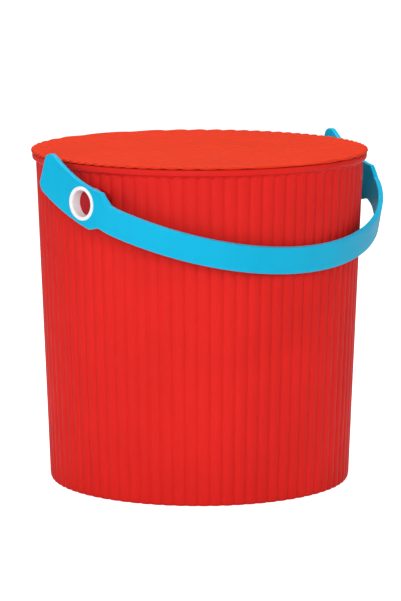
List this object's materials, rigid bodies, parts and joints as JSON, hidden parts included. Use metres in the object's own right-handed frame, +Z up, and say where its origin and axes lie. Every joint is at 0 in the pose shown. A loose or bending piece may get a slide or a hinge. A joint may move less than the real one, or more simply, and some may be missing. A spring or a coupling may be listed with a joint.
{
  "type": "lidded bucket",
  "caption": "Round tapered plastic bucket with a ribbed wall, a flat ridged lid and a strap handle that swings on flanged pivot rings.",
  "frame": {"origin": "on the bucket's axis, in the plane it stands on", "axes": "+Z up; X parallel to the line through the two handle pivots; -Y towards the lowered handle"},
  "size_m": [0.3468, 0.318, 0.318],
  "materials": {
    "bucket_plastic": "satin-gloss moulded red",
    "lid_plastic": "satin-gloss moulded orange-red",
    "handle_plastic": "satin moulded bright blue",
    "ring_plastic": "smooth moulded white"
  },
  "bodies": {
    "bucket": {"bucket_body": "bucket_plastic"},
    "handle": {"handle": "handle_plastic", "pivot_ring_left": "ring_plastic", "pivot_ring_right": "ring_plastic"},
    "lid": {"lid": "lid_plastic"}
  },
  "joints": [
    {"name": "handle_swing", "type": "hinge", "parent": "bucket", "child": "handle", "pos_m": [0, -0.0364, 0.2766], "axis": [-1, 0, 0], "range_deg": [0, 113]},
    {"name": "lid_lift", "type": "slide", "parent": "bucket", "child": "lid", "axis": [0, 0, 1], "range_m": [0, 0.13]}
  ]
}
